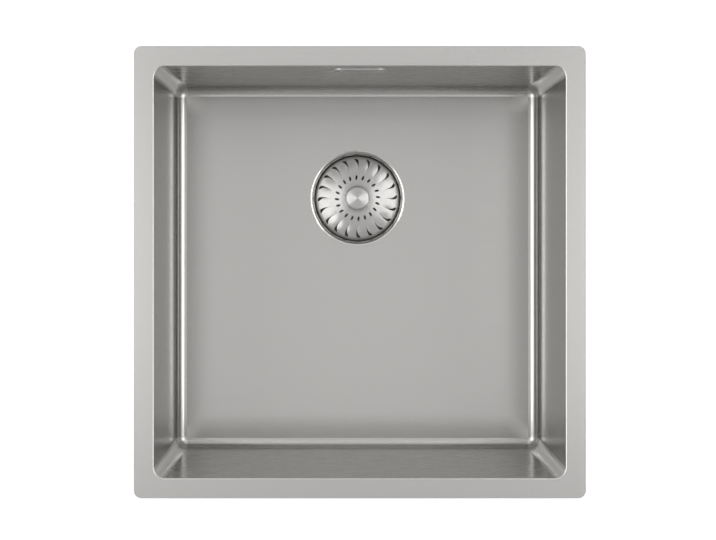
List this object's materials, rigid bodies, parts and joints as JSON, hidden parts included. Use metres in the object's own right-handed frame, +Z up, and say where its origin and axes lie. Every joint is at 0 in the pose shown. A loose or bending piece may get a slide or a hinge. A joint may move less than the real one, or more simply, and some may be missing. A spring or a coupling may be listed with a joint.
{
  "type": "kitchen sink",
  "caption": "Square single-bowl steel kitchen sink with a flat rim, louvred drain strainer with lift-out stopper, back wall overflow and worktop clips.",
  "frame": {"origin": "centre of the square rim on the worktop's top face, at the underside of the rim gasket", "axes": "+X right, +Y to the back wall with the overflow, +Z up"},
  "size_m": [0.44, 0.446, 0.288],
  "materials": {
    "steel_brushed": "satin brushed stainless sheet",
    "steel_pressed": "bright satin pressed stainless",
    "steel_turned": "turned, with circular grain",
    "steel_plain": "plain stainless",
    "steel_zinc": "zinc plated steel",
    "rubber_black": "matt",
    "damping_sheet": "matt damping sheet",
    "plastic_white": "moulded polypropylene",
    "plastic_grey": "moulded polypropylene"
  },
  "bodies": {
    "sink": {"bowl_shell": "steel_brushed", "overflow_trim": "steel_pressed", "rim_gasket": "rubber_black", "sound_pads": "damping_sheet", "clip_brackets": "steel_plain", "waste_clamp_ring": "steel_plain", "waste_screws": "steel_plain", "waste_gasket": "rubber_black", "waste_body": "plastic_grey", "overflow_seal": "rubber_black", "overflow_housing": "plastic_white", "overflow_pipe": "plastic_white", "pipe_nut_upper": "plastic_grey", "pipe_nut_lower": "plastic_grey", "pipe_seal_upper": "rubber_black", "pipe_seal_lower": "rubber_black"},
    "strainer": {"strainer_dome": "steel_pressed", "strainer_carrier": "plastic_grey"},
    "stopper": {"knob": "steel_turned", "stopper_stem": "steel_plain", "stem_ring": "rubber_black", "stopper_plate": "steel_plain", "stopper_disc": "rubber_black", "stopper_nut": "steel_plain"},
    "washer_1": {"clip_washer_1": "steel_zinc"},
    "screw_1": {"clip_screw_1": "steel_zinc"},
    "claw_1": {"clip_claw_1": "steel_zinc"},
    "washer_2": {"clip_washer_2": "steel_zinc"},
    "screw_2": {"clip_screw_2": "steel_zinc"},
    "claw_2": {"clip_claw_2": "steel_zinc"},
    "washer_3": {"clip_washer_3": "steel_zinc"},
    "screw_3": {"clip_screw_3": "steel_zinc"},
    "claw_3": {"clip_claw_3": "steel_zinc"},
    "washer_4": {"clip_washer_4": "steel_zinc"},
    "screw_4": {"clip_screw_4": "steel_zinc"},
    "claw_4": {"clip_claw_4": "steel_zinc"}
  },
  "joints": [
    {"name": "strainer_lift", "type": "slide", "parent": "sink", "child": "strainer", "axis": [0, 0, 1], "range_m": [0, 0.09]},
    {"name": "stopper_pull", "type": "slide", "parent": "strainer", "child": "stopper", "axis": [0, 0, 1], "range_m": [0, 0.008]},
    {"name": "clip_rise_1", "type": "slide", "parent": "sink", "child": "washer_1", "axis": [0, 0, 1], "range_m": [0, 0.018]},
    {"name": "clip_turn_1", "type": "hinge", "parent": "washer_1", "child": "screw_1", "pos_m": [0.2067, 0.11, -0.064], "axis": [0, 0, 1], "range_deg": [0, 8110]},
    {"name": "clip_swing_1", "type": "hinge", "parent": "washer_1", "child": "claw_1", "pos_m": [0.2067, 0.11, -0.0614], "axis": [0, 0, 1], "range_deg": [0, 90]},
    {"name": "clip_rise_2", "type": "slide", "parent": "sink", "child": "washer_2", "axis": [0, 0, 1], "range_m": [0, 0.018]},
    {"name": "clip_turn_2", "type": "hinge", "parent": "washer_2", "child": "screw_2", "pos_m": [0.2067, -0.11, -0.064], "axis": [0, 0, 1], "range_deg": [0, 8110]},
    {"name": "clip_swing_2", "type": "hinge", "parent": "washer_2", "child": "claw_2", "pos_m": [0.2067, -0.11, -0.0614], "axis": [0, 0, 1], "range_deg": [0, 90]},
    {"name": "clip_rise_3", "type": "slide", "parent": "sink", "child": "washer_3", "axis": [0, 0, 1], "range_m": [0, 0.018]},
    {"name": "clip_turn_3", "type": "hinge", "parent": "washer_3", "child": "screw_3", "pos_m": [-0.2067, -0.11, -0.064], "axis": [0, 0, 1], "range_deg": [0, 8110]},
    {"name": "clip_swing_3", "type": "hinge", "parent": "washer_3", "child": "claw_3", "pos_m": [-0.2067, -0.11, -0.0614], "axis": [0, 0, 1], "range_deg": [0, 90]},
    {"name": "clip_rise_4", "type": "slide", "parent": "sink", "child": "washer_4", "axis": [0, 0, 1], "range_m": [0, 0.018]},
    {"name": "clip_turn_4", "type": "hinge", "parent": "washer_4", "child": "screw_4", "pos_m": [-0.2067, 0.11, -0.064], "axis": [0, 0, 1], "range_deg": [0, 8110]},
    {"name": "clip_swing_4", "type": "hinge", "parent": "washer_4", "child": "claw_4", "pos_m": [-0.2067, 0.11, -0.0614], "axis": [0, 0, 1], "range_deg": [0, 90]}
  ],
  "couplings": [
    {"joint": "clip_turn_1", "follows": "clip_rise_1", "rad_per_m": 7854},
    {"joint": "clip_turn_2", "follows": "clip_rise_2", "rad_per_m": 7854},
    {"joint": "clip_turn_3", "follows": "clip_rise_3", "rad_per_m": 7854},
    {"joint": "clip_turn_4", "follows": "clip_rise_4", "rad_per_m": 7854}
  ]
}
